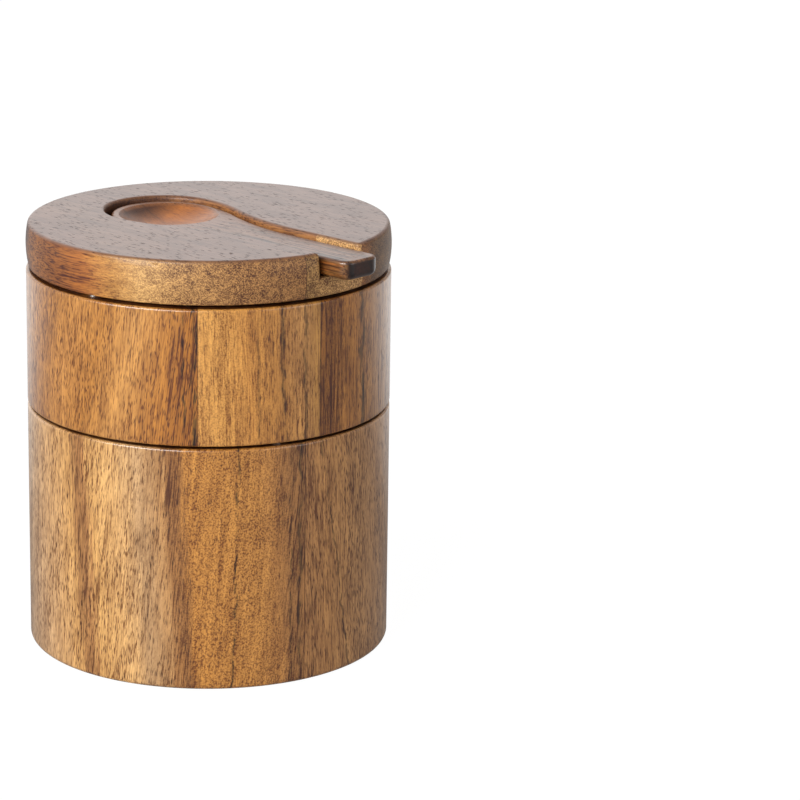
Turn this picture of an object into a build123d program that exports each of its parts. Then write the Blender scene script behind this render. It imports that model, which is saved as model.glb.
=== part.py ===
from build123d import *
from math import asin, cos, degrees, radians, sin, sqrt
import os

# Two-tier turned wooden spice box. Each tier and the lid swivel on an upright steel
# pin near the rim, and a wooden spoon lies in a recess in the lid.
# Millimetres, +Z up, origin on the turned axis at the base, +X right, +Y back.

# turned body
body_diameter = 110.0
wall = 11.0
lower_height = 74.1
lower_floor = 7.0
upper_height = 41.1
upper_floor = 6.0
lid_thickness = 13.2
lid_crown = 0.75
floor_cove = 6.0
base_round = 1.5
rim_round = 0.8
mouth_round = 1.0
lid_top_round = 1.2
lid_bottom_round = 0.6

# gaps between the swivelling pieces
tier_gap = 0.8
lid_gap = 1.0

# swivel pins: pressed into the lower piece, running in a blind bore of the upper one
pin_inset = 5.5
pin_diameter = 4.0
pin_clearance = 0.05
pin_end_clearance = 0.1
pin_chamfer = 0.4
tier_pin_seat = 12.0
tier_pin_reach = 11.0
tier_pin_angle = -67.0
lid_pin_seat = 11.0
lid_pin_reach = 8.0
lid_pin_angle = -132.0

# magnets: one pair opposite each pin, a hair apart
magnet_diameter = 8.0
magnet_thickness = 3.0
magnet_chamfer = 0.3
magnet_gap = 0.1

# spoon, lying along the lid's diameter with its handle out over the rim
spoon_angle = -45.0
spoon_length = 99.4
spoon_overhang = 8.3
spoon_sink = 1.5
bowl_radius = 16.6
neck_length = 47.5
shoulder_radius = 43.0
handle_width = 14.0
handle_thickness = 5.9
tip_corner = 3.6
spoon_top_round = 1.0
spoon_bottom_round = 2.2
dish_radius = 15.2
dish_depth = 4.8
dish_shift = 1.2
dish_round = 0.5
belly_depth = 1.7

# recess in the lid: the spoon's outline with a margin all round; the bowl of the
# spoon has slid over to the back wall, down to the back gap
recess_margin = 1.2
back_gap = 0.3
recess_corner = 1.3
pocket_margin = 1.0
pocket_cove = 1.0
seat_clearance = 0.05
belly_clearance = 0.3

body_radius = body_diameter / 2
cavity_radius = body_radius - wall
pin_circle = body_radius - pin_inset
upper_base = lower_height + tier_gap
upper_rim = upper_base + upper_height
lid_base = upper_rim + lid_gap
lid_top = lid_base + lid_thickness

tier_middle = lower_height + tier_gap / 2
lid_middle = upper_rim + lid_gap / 2
magnet_reach = magnet_gap / 2 + magnet_thickness

spoon_top = lid_top - spoon_sink
handle_base = spoon_top - handle_thickness
recess_floor = handle_base - seat_clearance
tip_x = body_radius + spoon_overhang
bowl_x = tip_x - spoon_length + bowl_radius
neck_x = bowl_x + neck_length
belly_radius = bowl_radius - spoon_bottom_round
spoon_turn = degrees(asin((recess_margin - back_gap) / (tip_x - bowl_x)))


def on_circle(angle, z):
    """Place on the pin circle, at an angle from +X."""
    return Pos(pin_circle * cos(radians(angle)), pin_circle * sin(radians(angle)), z)


def ring(solid, radius, z):
    """The round edges of a solid with one radius, at one height."""
    circles = solid.edges().filter_by(GeomType.CIRCLE)
    return [e for e in circles if abs(e.radius - radius) < 1e-4 and abs(e.arc_center.Z - z) < 1e-4]


def rod(diameter, bottom, top):
    """Upright cylinder on the Z axis between two heights."""
    return Pos(0, 0, bottom) * Cylinder(
        diameter / 2, top - bottom, align=(Align.CENTER, Align.CENTER, Align.MIN)
    )


def cup(bottom, height, floor, base_edge_round):
    """Turned tub: a solid round with a coved hollow bored from the top."""
    rim = bottom + height
    tub = rod(body_diameter, bottom, rim)
    tub -= rod(2 * cavity_radius, bottom + floor, rim)
    tub = fillet(ring(tub, cavity_radius, bottom + floor), floor_cove)
    tub = fillet(ring(tub, cavity_radius, rim), mouth_round)
    tub = fillet(ring(tub, body_radius, rim), rim_round)
    return fillet(ring(tub, body_radius, bottom), base_edge_round)


def pin(seat, reach, rim, gap, angle):
    """Dowel pin pressed into a rim, standing up through the gap into the piece above."""
    dowel = rod(pin_diameter, rim - seat, rim + gap + reach)
    dowel = chamfer(dowel.edges().filter_by(GeomType.CIRCLE), pin_chamfer)
    return on_circle(angle, 0) * dowel


def pin_seat(seat, rim, angle):
    """Press bore for a pin, down from a rim."""
    return on_circle(angle, 0) * rod(pin_diameter, rim - seat, rim)


def pin_bore(reach, base, angle):
    """Blind running bore for a pin, up from an underside."""
    bore = rod(pin_diameter + 2 * pin_clearance, base, base + reach + pin_end_clearance)
    return on_circle(angle, 0) * bore


def magnet(bottom, angle):
    """Disc magnet opposite a pin, with its lower face at a height."""
    disc = rod(magnet_diameter, bottom, bottom + magnet_thickness)
    disc = chamfer(disc.edges().filter_by(GeomType.CIRCLE), magnet_chamfer)
    return on_circle(angle + 180, 0) * disc


def magnet_pocket(bottom, top, angle):
    """Flat-bottomed pocket for a disc magnet, opposite a pin."""
    return on_circle(angle + 180, 0) * rod(magnet_diameter, bottom, top)


def spoon_outline(margin, end_x):
    """Plan of the spoon grown by a margin: round bowl, S-curved neck, straight handle."""
    half_handle = handle_width / 2
    drop = bowl_radius - half_handle
    hollow_radius = (neck_length**2 + drop**2) / (2 * drop) - shoulder_radius
    reach = shoulder_radius + hollow_radius
    lean = neck_length / reach
    rise = sqrt(1 - lean**2)
    shoulder_y = bowl_radius - shoulder_radius

    bowl_side = (bowl_x, bowl_radius + margin)
    grown = shoulder_radius + margin
    turn = (bowl_x + grown * lean, shoulder_y + grown * rise)
    handle_start = (neck_x, half_handle + margin)
    corner = (end_x, half_handle + margin)
    side = [
        CenterArc((bowl_x, 0), bowl_radius + margin, 90, 90),
        RadiusArc(bowl_side, turn, grown),
        RadiusArc(turn, handle_start, -(hollow_radius - margin)),
        Line(handle_start, corner),
        Line(corner, (end_x, 0)),
    ]
    return make_face(side + [mirror(line, about=Plane.XZ) for line in side])


def place_spoon(thing):
    """Turn a piece modelled along +X to the spoon's direction on the lid."""
    return Rot(0, 0, spoon_angle) * thing


def cap(rim_radius, depth):
    """Ball whose lowest part, of that depth, is rim_radius wide; its top at z = 0."""
    ball_radius = (rim_radius**2 + depth**2) / (2 * depth)
    return Pos(bowl_x, 0, ball_radius - depth) * Sphere(ball_radius)


def make_spoon():
    blank = extrude(spoon_outline(0, tip_x), handle_thickness)
    corners = blank.edges().filter_by(Axis.Z).group_by(Axis.X)[-1]
    blank = fillet(corners, tip_corner)
    blank = fillet(blank.faces().sort_by(Axis.Z)[-1].edges(), spoon_top_round)
    blank = fillet(blank.faces().sort_by(Axis.Z)[0].edges(), spoon_bottom_round)
    size = 2 * body_diameter
    below = Pos(0, 0, -size / 2) * Box(size, size, size)
    blank += cap(belly_radius, belly_depth) & below
    dish = Pos(dish_shift, 0, handle_thickness) * cap(dish_radius, dish_depth)
    spoon = blank - dish
    spoon = fillet(ring(spoon, dish_radius, handle_thickness), dish_round)
    turned = Pos(tip_x, 0, handle_base) * Rot(0, 0, -spoon_turn) * Pos(-tip_x, 0, 0) * spoon
    return place_spoon(turned)


def make_lid():
    edge_radius = body_radius - lid_crown
    middle = (lid_base + lid_top) / 2
    barrel = ThreePointArc(
        (edge_radius, lid_base), (body_radius, middle), (edge_radius, lid_top)
    )
    outline = [
        Line((0, lid_top), (0, lid_base)),
        Line((0, lid_base), (edge_radius, lid_base)),
        barrel,
        Line((edge_radius, lid_top), (0, lid_top)),
    ]
    lid = revolve(Plane.XZ * make_face(outline), Axis.Z)
    lid = fillet(ring(lid, edge_radius, lid_base), lid_bottom_round)

    beyond = 2 * body_radius
    recess = Pos(0, 0, recess_floor) * extrude(spoon_outline(recess_margin, beyond), lid_thickness)
    pocket_floor = handle_base - belly_depth - belly_clearance
    pocket = rod(2 * (belly_radius + pocket_margin), pocket_floor, lid_top)
    pocket = fillet(ring(pocket, belly_radius + pocket_margin, pocket_floor), pocket_cove)
    lid -= place_spoon(recess) + place_spoon(Pos(bowl_x, 0, 0) * pocket)

    mouth = [e for e in lid.edges() if e.position_at(0.5).Z > recess_floor + 1]
    upright = [e for e in mouth if abs(e.position_at(0).Z - e.position_at(1).Z) > 1]
    lid = fillet(upright, recess_corner)
    lid = fillet(lid.faces().sort_by(Axis.Z)[-1].edges(), lid_top_round)

    lid -= pin_bore(lid_pin_reach, lid_base, lid_pin_angle)
    return lid - magnet_pocket(lid_base, lid_middle + magnet_reach, lid_pin_angle)


def make_lower_box():
    box = cup(0, lower_height, lower_floor, base_round)
    box -= pin_seat(tier_pin_seat, lower_height, tier_pin_angle)
    return box - magnet_pocket(tier_middle - magnet_reach, lower_height, tier_pin_angle)


def make_upper_box():
    box = cup(upper_base, upper_height, upper_floor, rim_round)
    box -= pin_bore(tier_pin_reach, upper_base, tier_pin_angle)
    box -= magnet_pocket(upper_base, tier_middle + magnet_reach, tier_pin_angle)
    box -= pin_seat(lid_pin_seat, upper_rim, lid_pin_angle)
    return box - magnet_pocket(lid_middle - magnet_reach, upper_rim, lid_pin_angle)


nodes = {
    "lower_box": make_lower_box(),
    "tier_pivot_pin": pin(tier_pin_seat, tier_pin_reach, lower_height, tier_gap, tier_pin_angle),
    "lower_rim_magnet": magnet(tier_middle - magnet_reach, tier_pin_angle),
    "upper_box": make_upper_box(),
    "upper_base_magnet": magnet(tier_middle + magnet_gap / 2, tier_pin_angle),
    "upper_rim_magnet": magnet(lid_middle - magnet_reach, lid_pin_angle),
    "lid_pivot_pin": pin(lid_pin_seat, lid_pin_reach, upper_rim, lid_gap, lid_pin_angle),
    "lid": make_lid(),
    "lid_magnet": magnet(lid_middle + magnet_gap / 2, lid_pin_angle),
    "spoon": make_spoon(),
}

os.makedirs("parts", exist_ok=True)
for name, solid in nodes.items():
    export_step(solid, f"parts/{name}.step")
    print(name, round(solid.volume), "mm3")
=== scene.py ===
import math

import bpy
from mathutils import Matrix, Vector


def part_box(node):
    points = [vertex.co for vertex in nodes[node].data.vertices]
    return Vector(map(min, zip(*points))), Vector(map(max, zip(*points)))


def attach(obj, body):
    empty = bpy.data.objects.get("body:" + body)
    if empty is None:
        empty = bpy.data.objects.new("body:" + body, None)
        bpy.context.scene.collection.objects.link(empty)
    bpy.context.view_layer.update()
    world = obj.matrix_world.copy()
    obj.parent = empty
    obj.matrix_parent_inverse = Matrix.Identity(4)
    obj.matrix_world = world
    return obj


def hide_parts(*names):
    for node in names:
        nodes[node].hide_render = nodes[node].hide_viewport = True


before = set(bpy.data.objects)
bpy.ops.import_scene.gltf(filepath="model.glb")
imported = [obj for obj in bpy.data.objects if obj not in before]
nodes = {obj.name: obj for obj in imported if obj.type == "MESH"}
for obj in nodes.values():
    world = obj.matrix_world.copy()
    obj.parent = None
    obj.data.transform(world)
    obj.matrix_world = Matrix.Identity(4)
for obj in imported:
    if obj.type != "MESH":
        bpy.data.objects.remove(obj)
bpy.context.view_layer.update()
print("frame loaded:", len(nodes), "nodes")


# small helpers for node trees

def linear(color):
    # 0-255 screen colour to scene-linear RGBA, by the sRGB curve
    channels = [c / 255 for c in color]
    values = [c / 12.92 if c <= 0.04045 else ((c + 0.055) / 1.055) ** 2.4 for c in channels]
    return (*values, 1.0)


def feed(tree, value, socket):
    # an output socket is linked, anything else becomes the socket's own value
    if isinstance(value, bpy.types.NodeSocket):
        tree.links.new(value, socket)
    else:
        socket.default_value = value


def calc(tree, operation, first, second=0.0, third=0.0):
    node = tree.nodes.new("ShaderNodeMath")
    node.operation = operation
    for socket, value in zip(node.inputs, (first, second, third)):
        feed(tree, value, socket)
    return node.outputs[0]


def times(tree, *factors):
    product = factors[0]
    for factor in factors[1:]:
        product = calc(tree, "MULTIPLY", product, factor)
    return product


def fromHalf(tree, value):
    # noise runs about 0.5, waves run about 0
    return calc(tree, "SUBTRACT", value, 0.5)


def vector(tree, operation, first, second):
    node = tree.nodes.new("ShaderNodeVectorMath")
    node.operation = operation
    feed(tree, first, node.inputs[0])
    feed(tree, second, node.inputs[1])
    return node.outputs[0]


def joinXyz(tree, x, y, z):
    node = tree.nodes.new("ShaderNodeCombineXYZ")
    for socket, value in zip(node.inputs, (x, y, z)):
        feed(tree, value, socket)
    return node.outputs[0]


def splitXyz(tree, value):
    node = tree.nodes.new("ShaderNodeSeparateXYZ")
    feed(tree, value, node.inputs[0])
    return node.outputs


def stepRange(tree, value, low, high, outLow=0.0, outHigh=1.0):
    # straight step from outLow to outHigh, held level on both sides
    node = tree.nodes.new("ShaderNodeMapRange")
    for socket, item in zip(node.inputs, (value, low, high, outLow, outHigh)):
        feed(tree, item, socket)
    return node.outputs[0]


def mixValue(tree, share, first, second):
    return stepRange(tree, share, 0.0, 1.0, first, second)


def mixColor(tree, mode, share, first, second):
    node = tree.nodes.new("ShaderNodeMix")
    node.data_type = "RGBA"
    node.blend_type = mode
    feed(tree, share, node.inputs[0])
    feed(tree, first, node.inputs[6])
    feed(tree, second, node.inputs[7])
    return node.outputs[2]


def darkenColor(tree, share, color, screenColor):
    # darkens a colour by a screen colour: for stains and dark marks, and for the painted shade noted where it
    # is called
    return mixColor(tree, "MULTIPLY", share, color, linear(screenColor))


def noise(tree, place, spread, detail=2.0, roughness=0.5, shift=None):
    # spread is the number of features to a unit of length along each axis
    node = tree.nodes.new("ShaderNodeTexNoise")
    scaled = vector(tree, "MULTIPLY", place, spread)
    if shift is not None:
        scaled = vector(tree, "ADD", scaled, shift)
    feed(tree, scaled, node.inputs["Vector"])
    node.inputs["Scale"].default_value = 1.0
    node.inputs["Detail"].default_value = detail
    node.inputs["Roughness"].default_value = roughness
    return node.outputs["Fac"]


def colorRamp(tree, value, stops):
    # stops are (position from 0 to 1, screen colour, share that goes to alpha)
    node = tree.nodes.new("ShaderNodeValToRGB")
    elements = node.color_ramp.elements
    while len(elements) < len(stops):
        elements.new(0.5)
    for element, (position, color, share) in zip(elements, stops):
        element.position = position
        element.color = (*linear(color)[:3], share)
    feed(tree, value, node.inputs[0])
    return node.outputs


def newGroup(name, inputs, outputs):
    # inputs are (name, socket type, default or None), outputs are (name, socket type)
    tree = bpy.data.node_groups.new(name, "ShaderNodeTree")
    for label, kind, value in inputs:
        socket = tree.interface.new_socket(label, in_out="INPUT", socket_type=kind)
        if value is not None:
            socket.default_value = value
    for label, kind in outputs:
        tree.interface.new_socket(label, in_out="OUTPUT", socket_type=kind)
    start = tree.nodes.new("NodeGroupInput").outputs
    end = tree.nodes.new("NodeGroupOutput").inputs
    return tree, start, end


def useGroup(tree, group, values):
    node = tree.nodes.new("ShaderNodeGroup")
    node.node_tree = group
    for label, value in values.items():
        feed(tree, value, node.inputs[label])
    return node.outputs


def emptyMaterial(name):
    material = bpy.data.materials.new(name)
    material.use_nodes = True
    material.node_tree.nodes.clear()
    return material, material.node_tree


def addOutput(tree, kind, surface):
    output = tree.nodes.new(kind)
    feed(tree, surface, output.inputs["Surface"])


# acacia: how the grain runs through a board
grainFlowSettings = {
    # waves in features to a millimetre: across, across and along the grain
    "slowSpread": (0.045, 0.045, 0.014),
    "quickSpread": (0.2, 0.2, 0.06),
    "quickShare": 0.3,
    "tornSpread": (1.2, 1.2, 0.05),
    # how closely the fibres follow the wave
    "followAcross": 0.5,
    "followDeep": 0.3,
    "seedSlant": 1.7,
}


def makeGrainFlow(flow):
    # place in millimetres, grain along Z, to the same place straightened along the grain
    tree, start, end = newGroup(
        "grainFlow",
        [
            ("Place", "NodeSocketVector", None),
            ("Fibre Lean", "NodeSocketFloat", 0.0),
            ("Band Lean", "NodeSocketFloat", 0.0),
            ("Wander", "NodeSocketFloat", 1.0),
            ("Fray", "NodeSocketFloat", 8.0),
            ("Seed", "NodeSocketFloat", 0.0),
        ],
        [("Place", "NodeSocketVector"), ("Across", "NodeSocketFloat")],
    )
    place = start["Place"]
    x, y, z = splitXyz(tree, place)
    shift = joinXyz(tree, start["Seed"], times(tree, start["Seed"], flow["seedSlant"]), 0.0)
    slow = noise(tree, place, flow["slowSpread"], detail=1.0, shift=shift)
    quick = noise(tree, place, flow["quickSpread"], shift=shift)
    wave = calc(tree, "MULTIPLY_ADD", fromHalf(tree, quick), flow["quickShare"], fromHalf(tree, slow))
    wave = times(tree, wave, start["Wander"])
    # band edges break up into short streaks
    torn = fromHalf(tree, noise(tree, place, flow["tornSpread"], detail=3.0, roughness=0.6, shift=shift))
    frayed = calc(tree, "MULTIPLY_ADD", torn, start["Fray"], wave)
    leaned = calc(tree, "MULTIPLY_ADD", z, start["Band Lean"], x)
    feed(tree, calc(tree, "ADD", leaned, frayed), end["Across"])
    fibreX = calc(tree, "MULTIPLY_ADD", z, start["Fibre Lean"], x)
    fibreX = calc(tree, "MULTIPLY_ADD", wave, flow["followAcross"], fibreX)
    fibreY = calc(tree, "MULTIPLY_ADD", wave, flow["followDeep"], y)
    feed(tree, vector(tree, "ADD", joinXyz(tree, fibreX, fibreY, z), shift), end["Place"])
    return tree


# acacia: what the eye sees on the cut surface, from streaks down to pores
acaciaFaceSettings = {
    # spread: features to a millimetre across, across and along the grain
    # edges: noise value where a layer is 0 and where it is 1
    "layers": {
        "streaks": {"spread": (0.45, 0.45, 0.025), "edges": (0.34, 0.68), "detail": 3.0, "roughness": 0.6},
        "shimmer": {"spread": (0.22, 0.22, 0.08), "edges": (0.35, 0.68), "detail": 2.0, "roughness": 0.6},
        "dashes": {"spread": (2.5, 2.5, 0.4), "edges": (0.29, 0.47), "detail": 1.0, "roughness": 0.6},
        "lines": {"spread": (2.1, 2.1, 0.06), "edges": (0.36, 0.53), "detail": 2.0, "roughness": 0.6},
        "specks": {"spread": (2.1, 2.1, 1.8), "edges": (0.33, 0.58), "detail": 1.0, "roughness": 0.6},
        "patches": {"spread": (0.1, 0.1, 0.03), "edges": (0.38, 0.6), "detail": 1.0, "roughness": 0.5},
    },
    "wormSpread": (1.35, 1.35, 1.0),
    "wormWidth": 0.07,
    "poreSpread": (1.9, 1.9, 0.3),
    "crowdSpread": (0.2, 0.2, 0.05),
    "crowdPull": 1.6,
    "crowdMiddle": 0.8,
    "poreChance": (0.25, 0.7),
    "poreSize": (0.02, 0.4),
    "poreCore": 0.4,
    # tone between the marks, and depth of the specks and worms: without and with flecks
    "ground": (0.67, 0.28),
    "speckDepth": (1.0, 0.35),
    "wormDepth": (0.0, 0.85),
    # share of the pores and lines that is left: in plain and in curly wood
    "poreShare": (1.0, 0.5),
    "lineShare": (1.0, 0.3),
    # depth of the dashes: outside and inside a patch of them
    "dashDepth": (0.5, 1.15),
    # red of a pale and of a dark band, and the depth of the lines in each
    "bandRed": (0.6, 0.3),
    "lineDepth": (0.55, 1.5),
    "markColor": (126, 103, 72),
    "glowColor": (98, 78, 34),
    "poreColor": (112, 86, 68),
    # roughness of dark marks and of pale wood
    "roughness": (0.4, 0.3),
    "dashRelief": 0.4,
}


def layFigure(tree, look, place):
    # dashes, lines and specks are 1 on plain wood and fall to 0 in the middle of a dark mark
    layers = {}
    for name, layer in look["layers"].items():
        value = noise(tree, place, layer["spread"], layer["detail"], layer["roughness"])
        layers[name] = stepRange(tree, value, *layer["edges"])
    worms = calc(tree, "ABSOLUTE", fromHalf(tree, noise(tree, place, look["wormSpread"])))
    layers["worms"] = stepRange(tree, worms, look["wormWidth"], 0.0)
    return layers


def openPores(tree, look, place):
    # 1 in the middle of a pore; pores are cells that a slow noise crowds together or thins out
    cells = tree.nodes.new("ShaderNodeTexVoronoi")
    feed(tree, vector(tree, "MULTIPLY", place, look["poreSpread"]), cells.inputs["Vector"])
    cells.inputs["Scale"].default_value = 1.0
    chance = calc(tree, "SUBTRACT", splitXyz(tree, cells.outputs["Color"])[0], look["crowdMiddle"])
    crowd = noise(tree, place, look["crowdSpread"])
    chance = calc(tree, "MULTIPLY_ADD", crowd, look["crowdPull"], chance)
    size = stepRange(tree, chance, *look["poreChance"], *look["poreSize"])
    return stepRange(tree, cells.outputs["Distance"], size, times(tree, size, look["poreCore"]))


def figureTone(tree, look, start, layers):
    # 0 in a dark mark and 1 on the palest wood: plain wood has dashes and long lines,
    # curly wood has specks and pale worms
    curl, fibre = start["Curl"], start["Fibre"]
    flecked = times(tree, start["Flecks"], curl)
    marks = mixValue(tree, curl, layers["dashes"], layers["specks"])
    dashDepth = mixValue(tree, layers["patches"], *look["dashDepth"])
    speckDepth = mixValue(tree, start["Flecks"], *look["speckDepth"])
    lines = calc(tree, "SUBTRACT", layers["lines"], 1.0)
    bandRed = splitXyz(tree, start["Band Color"])[0]

    tone = mixValue(tree, flecked, *look["ground"])
    for layer, weight in (
        (calc(tree, "SUBTRACT", marks, 1.0), times(tree, fibre, mixValue(tree, curl, dashDepth, speckDepth))),
        (times(tree, lines, fibre, mixValue(tree, curl, *look["lineShare"])),
         stepRange(tree, bandRed, *look["bandRed"], *look["lineDepth"])),
        (layers["worms"], mixValue(tree, flecked, *look["wormDepth"])),
        (fromHalf(tree, layers["streaks"]), start["Streaks"]),
        (fromHalf(tree, layers["shimmer"]), start["Shimmer"]),
    ):
        tone = calc(tree, "MULTIPLY_ADD", layer, weight, tone)
    return calc(tree, "MINIMUM", calc(tree, "MAXIMUM", tone, 0.0), 1.0)


def makeAcaciaFace(look):
    tree, start, end = newGroup(
        "acaciaFace",
        [
            ("Place", "NodeSocketVector", None),
            ("Band Color", "NodeSocketColor", None),
            ("Curl", "NodeSocketFloat", 0.0),
            ("Flecks", "NodeSocketFloat", 0.0),
            ("Streaks", "NodeSocketFloat", 0.4),
            ("Fibre", "NodeSocketFloat", 0.5),
            ("Pores", "NodeSocketFloat", 0.7),
            ("Shimmer", "NodeSocketFloat", 0.3),
        ],
        [
            ("Color", "NodeSocketColor"),
            ("Roughness", "NodeSocketFloat"),
            ("Height", "NodeSocketFloat"),
        ],
    )
    layers = layFigure(tree, look, start["Place"])
    tone = figureTone(tree, look, start, layers)
    poreShare = mixValue(tree, start["Curl"], *look["poreShare"])
    pores = times(tree, openPores(tree, look, start["Place"]), start["Pores"], poreShare)

    dark = darkenColor(tree, 1.0, start["Band Color"], look["markColor"])
    light = mixColor(tree, "SCREEN", 1.0, start["Band Color"], linear(look["glowColor"]))
    color = mixColor(tree, "MIX", tone, dark, light)
    feed(tree, darkenColor(tree, pores, color, look["poreColor"]), end["Color"])
    feed(tree, mixValue(tree, tone, *look["roughness"]), end["Roughness"])
    relief = times(tree, layers["dashes"], look["dashRelief"])
    feed(tree, calc(tree, "SUBTRACT", relief, pores), end["Height"])
    return tree


grainFlow = makeGrainFlow(grainFlowSettings)
acaciaFace = makeAcaciaFace(acaciaFaceSettings)
print("wood groups made")


# acacia: one piece of it, board by board, with its own finish
acaciaFinish = {
    "halfSpan": 65.0,
    "seedStep": (37.0, 11.0),
    # growth lines: how far they wander, where they break, and their colour
    "veinSpread": (0.1, 0.1, 0.16),
    "veinWander": 4.0,
    "veinCore": 0.3,
    "breakSpread": (1.0, 1.0, 0.16),
    "breakEdges": (0.42, 0.54),
    "breakLeft": 0.15,
    "veinColor": (112, 86, 64),
    "glueEdges": (0.16, 0.05),
    "glueColor": (150, 125, 105),
    # metres below the highest point where the look of the flat top starts and has faded out
    "topStart": 0.0001,
    "topFade": 0.0009,
    # an open pore takes no lacquer and breaks the gloss
    "poreHeights": (-0.7, -0.1),
    "poreRoughness": 0.9,
    "coatRoughness": 0.24,
    "reliefDepth": 0.0001,
}


def layBoards(tree, settings, place, across):
    # boards glued side by side: each one has its own lean and its own piece of the pattern
    fibreLean, bandLean, seed = settings["fibreLean"][0], settings["bandLean"][0], settings["seed"]
    firstStep, nextStep = acaciaFinish["seedStep"]
    for number, glueLine in enumerate(settings["glueLines"], start=1):
        beyond = calc(tree, "GREATER_THAN", across, glueLine)
        fibreTurn = settings["fibreLean"][number] - settings["fibreLean"][number - 1]
        bandTurn = settings["bandLean"][number] - settings["bandLean"][number - 1]
        fibreLean = calc(tree, "MULTIPLY_ADD", beyond, fibreTurn, fibreLean)
        bandLean = calc(tree, "MULTIPLY_ADD", beyond, bandTurn, bandLean)
        seed = calc(tree, "MULTIPLY_ADD", beyond, firstStep + nextStep * number, seed)
    return useGroup(tree, grainFlow, {
        "Place": place, "Fibre Lean": fibreLean, "Band Lean": bandLean,
        "Wander": settings["wander"], "Fray": settings["fray"], "Seed": seed,
    })


def paintBands(tree, settings, bandPlace, across):
    # colour bands of each board, laid out across the grain in millimetres
    halfSpan = acaciaFinish["halfSpan"]
    position = stepRange(tree, bandPlace, -halfSpan, halfSpan)
    color, curl = None, None
    for number, bands in enumerate(settings["bands"]):
        stops = [((at + halfSpan) / (2 * halfSpan), tone, share) for at, tone, share in bands]
        boardColor, boardCurl = colorRamp(tree, position, stops)
        if number == 0:
            color, curl = boardColor, boardCurl
        else:
            beyond = calc(tree, "GREATER_THAN", across, settings["glueLines"][number - 1])
            color = mixColor(tree, "MIX", beyond, color, boardColor)
            curl = mixValue(tree, beyond, curl, boardCurl)
    return color, curl


def joinEndBlock(tree, block, wood, across, along):
    # a short block joined end to end in one of the staves
    inside = times(
        tree, calc(tree, "GREATER_THAN", across, block["low"]),
        calc(tree, "LESS_THAN", across, block["high"]),
        calc(tree, "GREATER_THAN", along, block["start"]),
    )
    tone = stepRange(tree, across, block["low"], block["high"])
    tone = mixColor(tree, "MIX", tone, *[linear(color) for color in block["colors"]])
    wood["color"] = mixColor(tree, "MIX", inside, wood["color"], tone)
    wood["curl"] = mixValue(tree, inside, wood["curl"], block["curl"])


def sandBowl(tree, bowl, wood, along):
    # the bowl is sanded smoother and shows less figure than the handle
    plain = stepRange(tree, along, bowl["from"], bowl["to"])
    wood["color"] = mixColor(tree, "MIX", plain, wood["color"], linear(bowl["color"]))
    wood["figure"] = mixValue(tree, plain, 1.0, bowl["marks"])
    for label in ("marks", "streaks"):
        wood[label] = times(tree, wood["figure"], wood[label])


def closeAndShadeTop(tree, top, wood, height):
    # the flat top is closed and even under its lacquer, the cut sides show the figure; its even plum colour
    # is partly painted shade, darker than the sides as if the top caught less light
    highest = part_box(top["node"])[1].z
    fade = [highest - acaciaFinish[label] for label in ("topStart", "topFade")]
    below = stepRange(tree, height, *fade)
    wood["below"] = below
    wood["curl"] = times(tree, wood["curl"], below)
    share = mixValue(tree, below, top["marks"], 1.0)
    for label in ("marks", "streaks"):
        wood[label] = times(tree, share, wood[label])
    wood["pores"] = mixValue(tree, below, top["pores"], wood["pores"])
    # the even top colour: partly the closed wood, partly painted shade
    even = mixValue(tree, below, top["even"], 0.0)
    wood["color"] = mixColor(tree, "MIX", even, wood["color"], linear(top["color"]))


def drawVein(tree, vein, wood, grainPlace, across, along):
    # dark growth line, crooked and broken along its length
    lineAt, lean, halfWidth, strength = vein
    crooked = fromHalf(tree, noise(tree, grainPlace, acaciaFinish["veinSpread"], detail=4.0))
    offset = calc(tree, "MULTIPLY_ADD", along, lean, calc(tree, "SUBTRACT", across, lineAt))
    offset = calc(tree, "MULTIPLY_ADD", crooked, acaciaFinish["veinWander"], offset)
    core = acaciaFinish["veinCore"] * halfWidth
    line = stepRange(tree, calc(tree, "ABSOLUTE", offset), halfWidth, core)
    broken = noise(tree, grainPlace, acaciaFinish["breakSpread"], detail=3.0)
    faint = acaciaFinish["breakLeft"] * strength
    line = times(tree, line, stepRange(tree, broken, *acaciaFinish["breakEdges"], faint, strength))
    if "figure" in wood:
        line = times(tree, wood["figure"], line)
    wood["color"] = darkenColor(tree, line, wood["color"], acaciaFinish["veinColor"])


def darkenEndsAndPaintShade(tree, settings, wood, color, across, along):
    # end grain drinks the oil and goes darker; part of this darkening is painted shade, as noted below
    # the tubs' level faces: this darkening is partly end grain and partly painted shade in the seams under
    # the lid and between the tiers
    if "endGrainAndSeamShade" in settings:
        endAndSeamShade = tree.nodes.new("ShaderNodeAttribute")
        endAndSeamShade.attribute_name = "endGrainAndSeamShade"
        color = darkenColor(tree, endAndSeamShade.outputs["Fac"], color, settings["endGrainAndSeamShade"])
    # stretches along the grain made darker: on the lid real end grain; on the spoon partly end grain and
    # partly painted shade on the handle's end face, and a painted grey-blue reflection on the bowl's far end
    for darkFrom, darkTo, darkColor in settings.get("endGrainAndPaintedShade", []):
        darkStretch = times(tree, stepRange(tree, along, darkFrom, darkTo), wood["below"])
        color = darkenColor(tree, darkStretch, color, darkColor)
    # dark thread of glue between boards
    for glueLine in settings["glueLines"]:
        gap = calc(tree, "ABSOLUTE", calc(tree, "SUBTRACT", across, glueLine))
        thread = stepRange(tree, gap, *acaciaFinish["glueEdges"])
        color = darkenColor(tree, thread, color, acaciaFinish["glueColor"])
    return color


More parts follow.
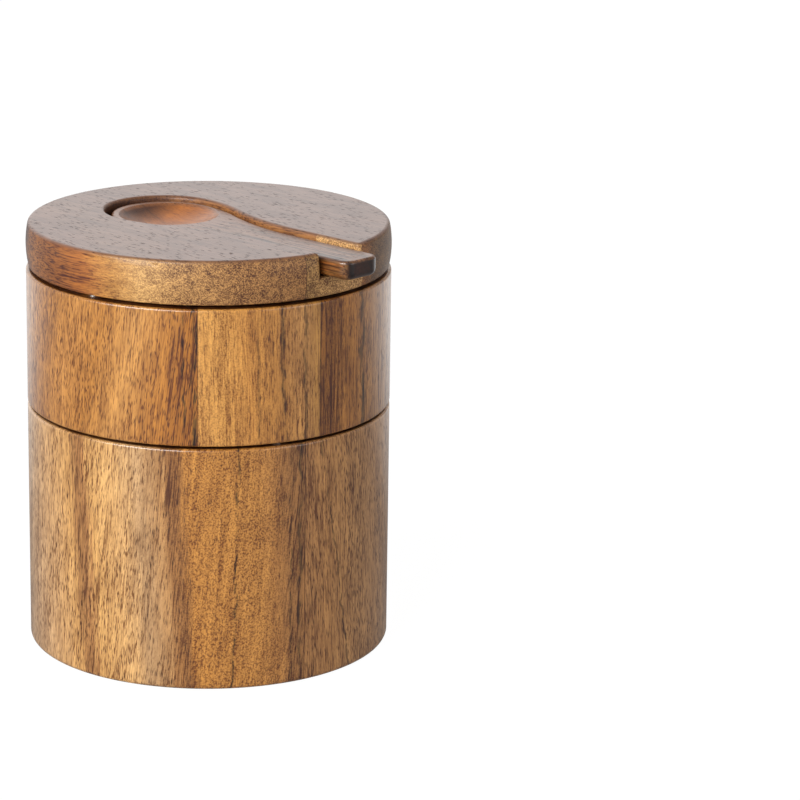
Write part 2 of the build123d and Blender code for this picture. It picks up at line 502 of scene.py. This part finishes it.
def lacquerWood(tree, settings, wood, color, face):
    shader = tree.nodes.new("ShaderNodeBsdfPrincipled")
    feed(tree, color, shader.inputs["Base Color"])
    roughness, lacquer = face["Roughness"], settings["lacquer"]
    if "topFace" in settings:
        top = settings["topFace"]
        roughness = mixValue(tree, wood["below"], roughness, top["sideRoughness"])
        lacquer = mixValue(tree, wood["below"], lacquer, top["sideLacquer"])
    closed = stepRange(tree, face["Height"], *acaciaFinish["poreHeights"])
    roughness = mixValue(tree, closed, acaciaFinish["poreRoughness"], roughness)
    feed(tree, roughness, shader.inputs["Roughness"])
    feed(tree, mixValue(tree, closed, 0.0, lacquer), shader.inputs["Coat Weight"])
    shader.inputs["Specular IOR Level"].default_value = settings["shine"]
    shader.inputs["Coat Roughness"].default_value = acaciaFinish["coatRoughness"]
    relief = tree.nodes.new("ShaderNodeBump")
    relief.inputs["Strength"].default_value = settings["relief"]
    relief.inputs["Distance"].default_value = acaciaFinish["reliefDepth"]
    feed(tree, face["Height"], relief.inputs["Height"])
    feed(tree, relief.outputs[0], shader.inputs["Normal"])
    addOutput(tree, "ShaderNodeOutputMaterial", shader.outputs[0])


def acaciaMaterial(settings):
    material, tree = emptyMaterial(settings["name"])
    coordinates = tree.nodes.new("ShaderNodeTexCoord").outputs["Object"]
    turn = tree.nodes.new("ShaderNodeMapping")
    turn.inputs["Rotation"].default_value = [math.radians(a) for a in settings["turn"]]
    turn.inputs["Location"].default_value = settings["centre"]
    turn.inputs["Scale"].default_value = (1000.0, 1000.0, 1000.0)  # metres to millimetres
    feed(tree, coordinates, turn.inputs["Vector"])
    across, _, along = splitXyz(tree, turn.outputs[0])

    flow = layBoards(tree, settings, turn.outputs[0], across)
    color, curl = paintBands(tree, settings, flow["Across"], across)
    wood = {
        "color": color, "curl": curl,
        "marks": settings["fibre"], "streaks": settings["streaks"], "pores": settings["pores"],
    }
    if "endBlock" in settings:
        joinEndBlock(tree, settings["endBlock"], wood, across, along)
    if "bowl" in settings:
        sandBowl(tree, settings["bowl"], wood, along)
    if "topFace" in settings:
        closeAndShadeTop(tree, settings["topFace"], wood, splitXyz(tree, coordinates)[2])
    for vein in settings["veins"]:
        drawVein(tree, vein, wood, flow["Place"], across, along)
    face = useGroup(tree, acaciaFace, {
        "Place": flow["Place"], "Band Color": wood["color"], "Curl": wood["curl"],
        "Flecks": settings.get("flecks", 0.0), "Streaks": wood["streaks"], "Fibre": wood["marks"],
        "Pores": wood["pores"], "Shimmer": settings["shimmer"],
    })
    color = darkenEndsAndPaintShade(tree, settings, wood, face["Color"], across, along)
    lacquerWood(tree, settings, wood, color, face)
    return material


def setMaterial(names, material):
    for name in names:
        mesh = nodes[name].data
        mesh.materials.clear()
        mesh.materials.append(material)


# lower tier: two boards, grain upright
lowerTier = {
    "name": "lowerTierAcacia",
    # level faces: end grain colour, also painted shade for the seams
    "endGrainAndSeamShade": (146, 118, 96),
    "turn": (0, 0, 0),
    "centre": (0, 0, -37),
    "glueLines": [28.2],
    "fibreLean": [-0.1, 0.08],
    "bandLean": [0.06, 0.0],
    "seed": 3.0,
    "fray": 8.0,
    "wander": 3.0,
    # place across the grain, colour, share of curly figure
    "bands": [
        [(-64, (224, 188, 164), 0.0), (-50, (232, 182, 132), 0.0), (-40, (231, 172, 104), 0.0),
         (-38, (178, 120, 70), 0.1), (-35, (186, 124, 74), 0.1), (-33, (239, 180, 108), 0.1),
         (-25, (246, 190, 124), 0.1), (-19, (207, 161, 116), 0.2), (-13, (208, 151, 96), 0.2),
         (-11, (168, 108, 62), 0.3), (-8, (170, 106, 54), 0.4), (-5, (218, 144, 62), 0.8),
         (14, (214, 142, 64), 0.9), (20, (202, 132, 64), 0.7), (24, (180, 116, 62), 0.4),
         (28, (166, 105, 58), 0.2)],
        [(28, (185, 123, 71), 0.1), (36, (200, 137, 80), 0.1), (44, (195, 137, 86), 0.0),
         (60, (210, 152, 102), 0.0)],
    ],
    # dark growth lines: place across, lean, half width, strength
    "veins": [(7.8, -0.03, 0.5, 1.0), (26.8, 0.0, 0.7, 0.8),
              (24.0, 0.0, 0.4, 0.7), (37.5, 0.12, 0.4, 0.7)],
    "streaks": 0.3,
    "fibre": 0.68,
    "pores": 0.95,
    "shimmer": 0.2,
    "shine": 0.6,
    "lacquer": 0.85,
    "relief": 0.35,
}
lowerWood = acaciaMaterial(lowerTier)

# upper tier: three boards
upperTier = {
    "name": "upperTierAcacia",
    # level faces: end grain colour, also painted shade for the seams
    "endGrainAndSeamShade": (146, 118, 96),
    "turn": (0, 0, 0),
    "centre": (0, 0, -95),
    "glueLines": [-3.4, 32.4],
    "fibreLean": [-0.12, 0.03, 0.0],
    "bandLean": [-0.2, 0.05, 0.0],
    "seed": 8.0,
    "fray": 8.0,
    "wander": 3.5,
    "bands": [
        [(-64, (200, 131, 63), 0.0), (-50, (189, 119, 50), 0.0), (-42, (216, 145, 73), 0.0),
         (-34, (193, 121, 48), 0.0), (-24, (229, 160, 84), 0.1), (-16, (202, 127, 50), 0.0),
         (-9, (183, 104, 24), 0.0), (-5, (178, 99, 22), 0.0)],
        [(-12, (233, 162, 80), 0.4), (4, (239, 168, 82), 0.5), (12, (227, 152, 69), 0.4),
         (20, (202, 131, 56), 0.2), (28, (206, 141, 76), 0.2), (32, (200, 137, 64), 0.2)],
        [(30, (146, 74, 14), 0.25), (36, (153, 82, 22), 0.25), (42, (195, 121, 52), 0.1),
         (50, (189, 123, 59), 0.0)],
    ],
    "veins": [(-7.6, 0.0, 0.5, 0.9), (-4.4, 0.0, 1.0, 1.0), (14.3, 0.0, 0.6, 0.5),
              (21.5, 0.02, 0.8, 0.8), (28.0, 0.0, 0.8, 0.7), (45.2, 0.02, 0.9, 0.9)],
    "streaks": 0.3,
    "fibre": 0.68,
    "pores": 0.8,
    "shimmer": 0.2,
    "shine": 0.6,
    "lacquer": 0.85,
    "relief": 0.35,
}
upperWood = acaciaMaterial(upperTier)

# lid: boards laid flat, grain along the spoon
lidBoards = {
    "name": "lidAcacia",
    "turn": (-90, -45, 0),
    "centre": (0, -124, 0),
    "glueLines": [-13.5],
    "fibreLean": [0.03, 0.0],
    "bandLean": [0.5, 0.1],
    "seed": 14.0,
    "fray": 8.0,
    "wander": 4.0,
    "bands": [
        [(-64, (160, 96, 46), 0.0), (-59, (128, 48, 2), 0.0), (-53, (168, 80, 4), 0.05),
         (-46, (206, 140, 62), 0.2), (-39, (228, 174, 106), 0.5), (-30, (192, 138, 80), 0.9),
         (-8, (172, 115, 64), 1.0), (10, (158, 101, 54), 1.0)],
        [(-14, (136, 78, 38), 0.1), (8, (176, 108, 58), 0.1), (16, (166, 98, 50), 0.1),
         (22, (112, 66, 38), 0.1), (50, (104, 64, 40), 0.1)],
    ],
    "endBlock": {"low": -13.5, "high": 9.6, "start": 36.5, "curl": 1.0,
                 "colors": [(166, 118, 64), (236, 180, 116)]},
    # top colour: partly painted shade, darker than the lit sides
    "topFace": {"node": "lid", "color": (114, 58, 57), "even": 0.94, "marks": 0.3, "pores": 1.2,
                "sideRoughness": 0.65, "sideLacquer": 0.2},
    "endGrainAndPaintedShade": [(-26.0, -34.0, (150, 130, 116))],
    "veins": [],
    "flecks": 1.0,
    "streaks": 0.3,
    "fibre": 0.42,
    "pores": 0.35,
    "shimmer": 0.25,
    "shine": 0.6,
    "lacquer": 0.7,
    "relief": 0.3,
}
setMaterial(["lid"], acaciaMaterial(lidBoards))

# spoon: one redder piece, grain along the handle
spoonBlank = {
    "name": "spoonAcacia",
    "turn": (-90, -45, 0),
    "centre": (0, -124, 0),
    "glueLines": [],
    "fibreLean": [0.0],
    "bandLean": [0.0],
    "seed": 21.0,
    "fray": 8.0,
    "wander": 2.0,
    "bands": [
        [(-17, (210, 112, 44), 0.2), (-9, (212, 116, 48), 0.2), (-7, (118, 66, 36), 0.2),
         (-5, (126, 70, 38), 0.2), (-3, (196, 124, 70), 0.2), (2, (176, 104, 54), 0.2),
         (5, (136, 76, 42), 0.2), (8, (186, 114, 60), 0.2), (17, (176, 108, 56), 0.2)],
    ],
    # top colour: partly painted shade, darker than the lit sides
    "topFace": {"node": "spoon", "color": (118, 64, 58), "even": 0.72, "marks": 1.0, "pores": 1.0,
                "sideRoughness": 0.35, "sideLacquer": 0.7},
    "bowl": {"from": 18.0, "to": -2.0, "marks": 0.5, "color": (192, 98, 20)},
    # the handle's end face: end grain and painted shade; the bowl's far end: a painted grey-blue reflection
    "endGrainAndPaintedShade": [(61.8, 62.6, (84, 56, 40)), (-25.0, -31.0, (120, 110, 112))],
    "veins": [(-4.5, 0.0, 0.5, 0.8), (3.4, 0.02, 0.5, 0.8)],
    "streaks": 0.3,
    "fibre": 0.4,
    "pores": 0.4,
    "shimmer": 0.2,
    "shine": 0.6,
    "lacquer": 0.75,
    "relief": 0.3,
}
setMaterial(["spoon"], acaciaMaterial(spoonBlank))
print("wood materials made")


# turned tubs, made with Geometry Nodes: a profile line is rounded, spun and drilled
tubTurning = {
    # how finely each tub is turned, and the angle in radians above which an edge stays crisp
    "Segments": 192,
    "Corner Steps": 8,
    "Hole Sides": 48,
    "Weld Distance": 0.000001,
    "Sharp Angle": 0.6,
}


def geometryNode(tree, kind, inputs, **options):
    node = tree.nodes.new(kind)
    for option, value in options.items():
        setattr(node, option, value)
    for label, value in inputs.items():
        feed(tree, value, node.inputs[label])
    return node


def spinProfile(tree, start, rounded):
    # one row of a grid for each profile point, one column for each step round
    size = geometryNode(tree, "GeometryNodeAttributeDomainSize", {"Geometry": rounded}, component="CURVE")
    columns = calc(tree, "ADD", start["Segments"], 1.0)
    spun = geometryNode(
        tree, "GeometryNodeMeshGrid", {"Vertices X": size.outputs["Point Count"], "Vertices Y": columns},
    ).outputs[0]
    index = tree.nodes.new("GeometryNodeInputIndex").outputs[0]
    row = calc(tree, "FLOOR", calc(tree, "DIVIDE", calc(tree, "ADD", index, 0.5), columns))
    column = calc(tree, "SUBTRACT", index, times(tree, row, columns))
    angle = times(tree, calc(tree, "DIVIDE", column, start["Segments"]), 2 * math.pi)

    position = tree.nodes.new("GeometryNodeInputPosition").outputs[0]
    onProfile = geometryNode(
        tree, "GeometryNodeSampleIndex", {"Geometry": rounded, "Value": position, "Index": row},
        data_type="FLOAT_VECTOR",
    ).outputs[0]
    radius, _, height = splitXyz(tree, onProfile)
    x = times(tree, radius, calc(tree, "COSINE", angle))
    y = times(tree, radius, calc(tree, "SINE", angle))
    spun = geometryNode(
        tree, "GeometryNodeSetPosition", {"Geometry": spun, "Position": joinXyz(tree, x, y, height)},
    ).outputs[0]

    mark = geometryNode(tree, "GeometryNodeInputNamedAttribute", {"Name": "endGrainAndSeamShade"}).outputs[0]
    carried = geometryNode(
        tree, "GeometryNodeSampleIndex", {"Geometry": rounded, "Value": mark, "Index": row},
    ).outputs[0]
    spun = geometryNode(
        tree, "GeometryNodeStoreNamedAttribute", {"Geometry": spun, "Name": "endGrainAndSeamShade", "Value": carried},
    ).outputs[0]
    return geometryNode(
        tree, "GeometryNodeMergeByDistance", {"Geometry": spun, "Distance": start["Weld Distance"]},
    ).outputs[0]


def drillHoles(tree, start, tub, holes):
    drills = geometryNode(
        tree, "GeometryNodeMeshBoolean", {"Mesh 1": tub}, operation="DIFFERENCE", solver="EXACT",
    )
    for hole in holes:
        cutter = geometryNode(
            tree, "GeometryNodeMeshCylinder",
            {"Vertices": start["Hole Sides"], "Radius": start[hole + " Radius"],
             "Depth": start[hole + " Depth"]},
        ).outputs[0]
        placed = geometryNode(
            tree, "GeometryNodeTransform", {"Geometry": cutter, "Translation": start[hole + " Place"]},
        ).outputs[0]
        tree.links.new(placed, drills.inputs["Mesh 2"])
    return drills.outputs[0]


def makeTubTree(name, holes):
    tree = bpy.data.node_groups.new(name, "GeometryNodeTree")
    sockets = [
        ("Profile", "Geometry"), ("Segments", "Int"), ("Corner Steps", "Int"), ("Hole Sides", "Int"),
        ("Weld Distance", "Float"), ("Sharp Angle", "Float"), ("Material", "Material"),
    ]
    for hole in holes:
        sockets += [(hole + " Place", "Vector"), (hole + " Radius", "Float"), (hole + " Depth", "Float")]
    for label, kind in sockets:
        tree.interface.new_socket(label, in_out="INPUT", socket_type="NodeSocket" + kind)
    tree.interface.new_socket("Tub", in_out="OUTPUT", socket_type="NodeSocketGeometry")
    start = tree.nodes.new("NodeGroupInput").outputs
    end = tree.nodes.new("NodeGroupOutput").inputs

    # round each corner of the profile line by its own radius
    line = geometryNode(tree, "GeometryNodeMeshToCurve", {"Mesh": start["Profile"]}).outputs[0]
    cornerRound = geometryNode(tree, "GeometryNodeInputNamedAttribute", {"Name": "cornerRound"}).outputs[0]
    rounded = geometryNode(
        tree, "GeometryNodeFilletCurve",
        {"Curve": line, "Radius": cornerRound, "Count": start["Corner Steps"]}, mode="POLY",
    ).outputs[0]
    tub = drillHoles(tree, start, spinProfile(tree, start, rounded), holes)

    # soft shading, with the real edges kept crisp
    smooth = geometryNode(tree, "GeometryNodeSetShadeSmooth", {"Geometry": tub}, domain="FACE")
    edgeAngle = tree.nodes.new("GeometryNodeInputMeshEdgeAngle").outputs[0]
    crisp = calc(tree, "GREATER_THAN", edgeAngle, start["Sharp Angle"])
    edged = geometryNode(
        tree, "GeometryNodeSetShadeSmooth",
        {"Geometry": smooth.outputs[0], "Selection": crisp, "Shade Smooth": False}, domain="EDGE",
    ).outputs[0]
    real = geometryNode(tree, "GeometryNodeRealizeInstances", {"Geometry": edged}).outputs[0]
    painted = geometryNode(
        tree, "GeometryNodeSetMaterial", {"Geometry": real, "Material": start["Material"]},
    ).outputs[0]
    tree.links.new(painted, end["Tub"])
    return tree


def tubProfile(tub, low, high):
    # from the axis under the base, up the outside, over the rim and down into the hollow;
    # a spare point on each side of a corner keeps the flats flat; a level run is end grain, and is later
    # darkened both as end grain and as painted shade for the seams
    outer = high.x
    inner = outer - tub["wall"]
    floorTop = low.z + tub["floor"]
    corners = [
        (outer, low.z, tub["baseRound"]), (outer, high.z, tub["rimRound"]),
        (inner, high.z, tub["mouthRound"]), (inner, floorTop, tub["floorCove"]),
    ]
    path = [(0.0, low.z)] + [(r, z) for r, z, _ in corners] + [(0.0, floorTop)]
    points = [(*path[0], 0.0, 1.0)]
    for number, (r, z, cornerRound) in enumerate(corners, start=1):
        for besideR, besideZ in (path[number - 1], (r, z), path[number + 1]):
            run = math.hypot(besideR - r, besideZ - z)
            share = (cornerRound + tub["spare"]) / run if run else 0.0
            points.append((
                r + (besideR - r) * share, z + (besideZ - z) * share,
                0.0 if run else cornerRound, 1.0 if run and besideZ == z else 0.0,
            ))
    return points + [(*path[-1], 0.0, 1.0)]


def makeProfile(tub, low, high):
    points = tubProfile(tub, low, high)
    mesh = bpy.data.meshes.new(tub["name"])
    places = [(r, 0.0, z) for r, z, _, _ in points]
    mesh.from_pydata(places, [(i, i + 1) for i in range(len(places) - 1)], [])
    for label, column in (("cornerRound", 2), ("endGrainAndSeamShade", 3)):
        values = [point[column] for point in points]
        mesh.attributes.new(label, "FLOAT", "POINT").data.foreach_set("value", values)
    profile = bpy.data.objects.new(tub["name"] + "Profile", mesh)
    bpy.context.scene.collection.objects.link(profile)
    return profile


def fitHoles(tub, low, high):
    # each hole follows the pin or magnet that sits in it, and is cut a little past the open face
    values = {}
    for hole, (node, opensUp, clearance, endClearance) in tub["holes"].items():
        partLow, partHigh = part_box(node)
        if opensUp:
            bottom, top = partLow.z - endClearance, high.z + tub["pastFace"]
        else:
            bottom, top = low.z - tub["pastFace"], partHigh.z + endClearance
        middle = (partLow + partHigh) / 2
        values[hole + " Place"] = (middle.x, middle.y, (bottom + top) / 2)
        values[hole + " Radius"] = (partHigh.x - partLow.x) / 2 + clearance
        values[hole + " Depth"] = top - bottom
    return values


def turnTub(tub, material):
    low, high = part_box(tub["node"])
    profile = makeProfile(tub, low, high)
    values = {**tubTurning, **fitHoles(tub, low, high), "Material": material}
    turning = profile.modifiers.new("turning", "NODES")
    turning.node_group = makeTubTree(tub["name"] + "Turning", list(tub["holes"]))
    for item in turning.node_group.interface.items_tree:
        if item.in_out == "INPUT" and item.name in values:
            turning[item.identifier] = values[item.name]

    evaluated = profile.evaluated_get(bpy.context.evaluated_depsgraph_get())
    turned = bpy.data.objects.new(tub["name"], bpy.data.meshes.new_from_object(evaluated))
    turned.data.materials.clear()
    turned.data.materials.append(material)
    bpy.data.objects.remove(profile)
    bpy.context.scene.collection.objects.link(turned)
    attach(turned, tub["body"])
    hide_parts(tub["node"])
    print(tub["name"], "turned:", len(turned.data.polygons), "faces")


lowerTub = {
    "name": "lowerTub", "node": "lower_box", "body": "base", "slot": "lower_wood",
    "wall": 0.011, "floor": 0.007, "floorCove": 0.006,
    "baseRound": 0.0015, "rimRound": 0.0008, "mouthRound": 0.001,
    "spare": 0.0003, "pastFace": 0.001,
    # part in the hole, whether the hole opens upwards, clearance round it and at its end
    "holes": {
        "Pin Seat": ("tier_pivot_pin", True, 0.0, 0.0),
        "Magnet Pocket": ("lower_rim_magnet", True, 0.0, 0.0),
    },
}
upperTub = {
    "name": "upperTub", "node": "upper_box", "body": "upper_tier", "slot": "upper_wood",
    "wall": 0.011, "floor": 0.006, "floorCove": 0.006,
    "baseRound": 0.0008, "rimRound": 0.0008, "mouthRound": 0.001,
    "spare": 0.0003, "pastFace": 0.001,
    "holes": {
        "Pin Bore": ("tier_pivot_pin", False, 0.00005, 0.0001),
        "Base Magnet Pocket": ("upper_base_magnet", False, 0.0, 0.0),
        "Pin Seat": ("lid_pivot_pin", True, 0.0, 0.0),
        "Rim Magnet Pocket": ("upper_rim_magnet", True, 0.0, 0.0),
    },
}
turnTub(lowerTub, lowerWood)
turnTub(upperTub, upperWood)


# metal parts
pinSteel = {
    "name": "pinSteel", "color": (198, 196, 192), "roughness": 0.3,
    "scratch": (900.0, 900.0, 9000.0),
}
magnetNickel = {
    "name": "magnetNickel", "color": (214, 210, 202), "roughness": 0.16,
    "scratch": (2600.0, 2600.0, 2600.0),
}
metalWear = {"shade": 0.86, "edges": (0.3, 0.7), "polish": (0.8, 1.2)}


def metalMaterial(metal):
    material, tree = emptyMaterial(metal["name"])
    shader = tree.nodes.new("ShaderNodeBsdfPrincipled")
    coordinates = tree.nodes.new("ShaderNodeTexCoord").outputs["Object"]
    lines = noise(tree, coordinates, metal["scratch"], detail=3.0)
    shaded = linear([channel * metalWear["shade"] for channel in metal["color"]])
    feed(tree, mixColor(tree, "MIX", lines, shaded, linear(metal["color"])), shader.inputs["Base Color"])
    polish = [metal["roughness"] * share for share in metalWear["polish"]]
    feed(tree, stepRange(tree, lines, *metalWear["edges"], *polish), shader.inputs["Roughness"])
    shader.inputs["Metallic"].default_value = 1.0
    addOutput(tree, "ShaderNodeOutputMaterial", shader.outputs[0])
    return material


setMaterial(["tier_pivot_pin", "lid_pivot_pin"], metalMaterial(pinSteel))
magnets = ["lower_rim_magnet", "upper_base_magnet", "upper_rim_magnet", "lid_magnet"]
setMaterial(magnets, metalMaterial(magnetNickel))
print("metal materials made")


# floor, light and camera; places in metres
studio = {
    "floorSize": 6.0,
    "floorColor": (215, 214, 212),
    # share of the floor that glows to the camera, and how white the glow is
    "floorGlow": 0.9,
    "floorWhite": 1.07,
    "skyLight": 0.3,
    # in reflections the room is dim on the near side and white behind the object
    "frontShine": 0.2,
    "backShine": 1.0,
    "rightShine": 0.4,
    "floorTurns": (0.1, 0.35),
    "skyTurns": (0.1, 0.8),
    "rightTurns": (0.05, 0.3),
    "lamps": {
        "keyLamp": {"place": (-1.0, -1.15, 0.75), "size": (1.5, 0.7), "power": 35.0},
        "fillLamp": {"place": (1.2, -0.9, 0.3), "size": (1.0, 0.8), "power": 4.0},
        "backLamp": {"place": (0.9, 1.2, 1.0), "size": (1.0, 1.0), "power": 14.0, "glossy": False},
    },
}


def seenOrShone(tree):
    # first 1 on the camera's own rays, then 1 on those of reflections and refractions too
    path = tree.nodes.new("ShaderNodeLightPath").outputs
    seen = calc(tree, "MAXIMUM", path["Is Camera Ray"], path["Is Glossy Ray"])
    return path["Is Camera Ray"], calc(tree, "MAXIMUM", seen, path["Is Transmission Ray"])


def makeFloor():
    half = studio["floorSize"] / 2
    mesh = bpy.data.meshes.new("floor")
    corners = [(-half, -half, 0), (half, -half, 0), (half, half, 0), (-half, half, 0)]
    mesh.from_pydata(corners, [], [(0, 1, 2, 3)])
    floor = bpy.data.objects.new("floor", mesh)
    bpy.context.scene.collection.objects.link(floor)
    material, tree = emptyMaterial("paleFloor")
    matte = tree.nodes.new("ShaderNodeBsdfDiffuse")
    matte.inputs["Color"].default_value = linear(studio["floorColor"])
    # seen in the gloss, the floor on the near side is as dim as the room there
    glow = tree.nodes.new("ShaderNodeEmission")
    onCamera, looked = seenOrShone(tree)
    depth = splitXyz(tree, tree.nodes.new("ShaderNodeTexCoord").outputs["Object"])[1]
    room = stepRange(tree, depth, *studio["floorTurns"], studio["frontShine"], studio["backShine"])
    white = times(tree, onCamera, studio["floorWhite"])
    feed(tree, calc(tree, "MAXIMUM", white, room), glow.inputs["Strength"])
    mix = tree.nodes.new("ShaderNodeMixShader")
    feed(tree, mixValue(tree, onCamera, looked, studio["floorGlow"]), mix.inputs[0])
    feed(tree, matte.outputs[0], mix.inputs[1])
    feed(tree, glow.outputs[0], mix.inputs[2])
    addOutput(tree, "ShaderNodeOutputMaterial", mix.outputs[0])
    mesh.materials.append(material)


def makeWorld():
    world = bpy.data.worlds.new("studio")
    world.use_nodes = True
    tree = world.node_tree
    tree.nodes.clear()
    right, depth, _ = splitXyz(tree, tree.nodes.new("ShaderNodeTexCoord").outputs["Generated"])
    room = stepRange(tree, depth, *studio["skyTurns"], studio["frontShine"], studio["backShine"])
    room = times(tree, room, stepRange(tree, right, *studio["rightTurns"], 1.0, studio["rightShine"]))
    onCamera, looked = seenOrShone(tree)
    strength = calc(tree, "MAXIMUM", onCamera, times(tree, looked, room))
    strength = calc(tree, "MAXIMUM", strength, studio["skyLight"])
    background = tree.nodes.new("ShaderNodeBackground")
    feed(tree, strength, background.inputs["Strength"])
    background.inputs["Color"].default_value = (1.0, 1.0, 1.0, 1.0)
    addOutput(tree, "ShaderNodeOutputWorld", background.outputs[0])
    bpy.context.scene.world = world


def makeLamp(name, place, size, power, glossy=True):
    data = bpy.data.lights.new(name, "AREA")
    data.shape = "RECTANGLE"
    data.size, data.size_y = size
    data.energy = power
    lamp = bpy.data.objects.new(name, data)
    bpy.context.scene.collection.objects.link(lamp)
    lamp.location = place
    lamp.rotation_euler = (-Vector(place)).to_track_quat("-Z", "Y").to_euler()
    lamp.visible_glossy = glossy


makeFloor()
makeWorld()
for name, lamp in studio["lamps"].items():
    makeLamp(name, **lamp)

viewpoint = {
    "place": (0.0, -1.0328, 0.3672),
    "downDegrees": 15.87,
    "rightDegrees": 3.106,
    "lens": 158.24,
    "sensorWidth": 36.0,
}
cameraData = bpy.data.cameras.new("camera")
cameraData.lens = viewpoint["lens"]
cameraData.sensor_width = viewpoint["sensorWidth"]
camera = bpy.data.objects.new("camera", cameraData)
bpy.context.scene.collection.objects.link(camera)
camera.matrix_world = (
    Matrix.Translation(viewpoint["place"])
    @ Matrix.Rotation(math.radians(90 - viewpoint["downDegrees"]), 4, "X")
    @ Matrix.Rotation(-math.radians(viewpoint["rightDegrees"]), 4, "Y")
)
bpy.context.scene.camera = camera
bpy.context.scene.view_settings.view_transform = "Standard"
print("studio made")
